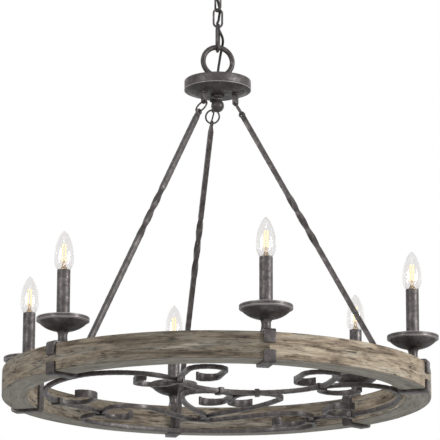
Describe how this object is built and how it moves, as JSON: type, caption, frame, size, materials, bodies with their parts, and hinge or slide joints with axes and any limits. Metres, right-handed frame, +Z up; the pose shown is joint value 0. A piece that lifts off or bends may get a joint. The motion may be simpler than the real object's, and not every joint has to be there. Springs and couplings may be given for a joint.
{
  "type": "wagon wheel chandelier",
  "caption": "Rustic chandelier: a weathered wooden wheel rim with forged iron scrollwork, candle lights, twisted hanging rods and a short chain to the ceiling canopy.",
  "frame": {"origin": "centre of the mounting strap's top face, in the ceiling plane", "axes": "+Z up towards the ceiling, +Y from the middle of the wheel through the first hanging rod, +X to the right of it; the fixture hangs below the origin"},
  "size_m": [0.8, 0.847, 0.8764],
  "materials": {
    "aged_iron": "matte, weathered",
    "weathered_wood": "rough, weathered",
    "mottled_zinc": "matte, mottled",
    "clear_glass": "clear",
    "socket_black": "matte",
    "cord_black": "satin"
  },
  "bodies": {
    "ceiling": {"ceiling_canopy": "aged_iron", "mounting_strap": "aged_iron", "canopy_nipple": "aged_iron", "canopy_lock_nut": "aged_iron", "canopy_collar": "aged_iron", "canopy_loop": "aged_iron"},
    "upper_link": {"chain_link_upper": "aged_iron", "supply_cord_top": "cord_black"},
    "lower_link": {"chain_link_lower": "aged_iron", "supply_cord_middle": "cord_black"},
    "connector": {"connector_link": "aged_iron", "supply_cord_lower": "cord_black"},
    "fixture": {"hub_loop": "aged_iron", "hub_shell": "aged_iron", "hub_cover": "aged_iron", "hub_finial": "aged_iron", "hub_spindle": "aged_iron", "hub_lock_nut": "aged_iron", "hub_lugs": "aged_iron", "suspension_ring_1": "aged_iron", "suspension_ring_2": "aged_iron", "suspension_ring_3": "aged_iron", "twist_rod_1": "aged_iron", "twist_rod_2": "aged_iron", "twist_rod_3": "aged_iron", "rim_segment_1": "weathered_wood", "rim_segment_2": "weathered_wood", "rim_segment_3": "weathered_wood", "clamp_1": "aged_iron", "clamp_2": "aged_iron", "clamp_3": "aged_iron", "clamp_4": "aged_iron", "clamp_5": "aged_iron", "clamp_6": "aged_iron", "scroll_arch": "aged_iron", "scroll_heart_right": "aged_iron", "scroll_heart_left": "aged_iron", "scroll_crest": "aged_iron", "scroll_loop_right": "aged_iron", "scroll_loop_left": "aged_iron", "scroll_bow": "aged_iron", "scroll_collars": "aged_iron", "candle_cup_1": "aged_iron", "candle_cup_2": "aged_iron", "candle_cup_3": "aged_iron", "candle_cup_4": "aged_iron", "candle_cup_5": "aged_iron", "candle_cup_6": "aged_iron", "candle_sleeves": "mottled_zinc", "lamp_sockets": "socket_black", "rod_lead": "cord_black", "supply_cord_hub": "cord_black"},
    "lamp_1": {"bulb_1": "clear_glass"},
    "lamp_2": {"bulb_2": "clear_glass"},
    "lamp_3": {"bulb_3": "clear_glass"},
    "lamp_4": {"bulb_4": "clear_glass"},
    "lamp_5": {"bulb_5": "clear_glass"},
    "lamp_6": {"bulb_6": "clear_glass"}
  },
  "joints": [
    {"name": "canopy_to_upper_link", "type": "hinge", "parent": "ceiling", "child": "upper_link", "pos_m": [0, 0, -0.0755], "axis": [1, 0, 0], "range_deg": [-30, 30], "deforming": ["supply_cord_top"]},
    {"name": "upper_to_lower_link", "type": "hinge", "parent": "upper_link", "child": "lower_link", "pos_m": [0, 0, -0.10625], "axis": [-0.3875, 0.9219, 0], "range_deg": [-25, 25], "deforming": ["supply_cord_middle"]},
    {"name": "lower_link_to_connector", "type": "hinge", "parent": "lower_link", "child": "connector", "pos_m": [0, 0, -0.1385], "axis": [1, 0, 0], "range_deg": [-30, 30], "deforming": ["supply_cord_lower"]},
    {"name": "connector_to_hub", "type": "hinge", "parent": "connector", "child": "fixture", "pos_m": [0, 0, -0.18725], "axis": [0, 1, 0], "range_deg": [-20, 20], "deforming": ["supply_cord_hub"]},
    {"name": "lamp_1_screw", "type": "hinge", "parent": "fixture", "child": "lamp_1", "pos_m": [0.32563, 0.188, -0.6809], "axis": [0, 0, 1], "range_deg": [0, 1080]},
    {"name": "lamp_2_screw", "type": "hinge", "parent": "fixture", "child": "lamp_2", "pos_m": [0, 0.376, -0.6809], "axis": [0, 0, 1], "range_deg": [0, 1080]},
    {"name": "lamp_3_screw", "type": "hinge", "parent": "fixture", "child": "lamp_3", "pos_m": [-0.32563, 0.188, -0.6809], "axis": [0, 0, 1], "range_deg": [0, 1080]},
    {"name": "lamp_4_screw", "type": "hinge", "parent": "fixture", "child": "lamp_4", "pos_m": [-0.32563, -0.188, -0.6809], "axis": [0, 0, 1], "range_deg": [0, 1080]},
    {"name": "lamp_5_screw", "type": "hinge", "parent": "fixture", "child": "lamp_5", "pos_m": [0, -0.376, -0.6809], "axis": [0, 0, 1], "range_deg": [0, 1080]},
    {"name": "lamp_6_screw", "type": "hinge", "parent": "fixture", "child": "lamp_6", "pos_m": [0.32563, -0.188, -0.6809], "axis": [0, 0, 1], "range_deg": [0, 1080]}
  ]
}
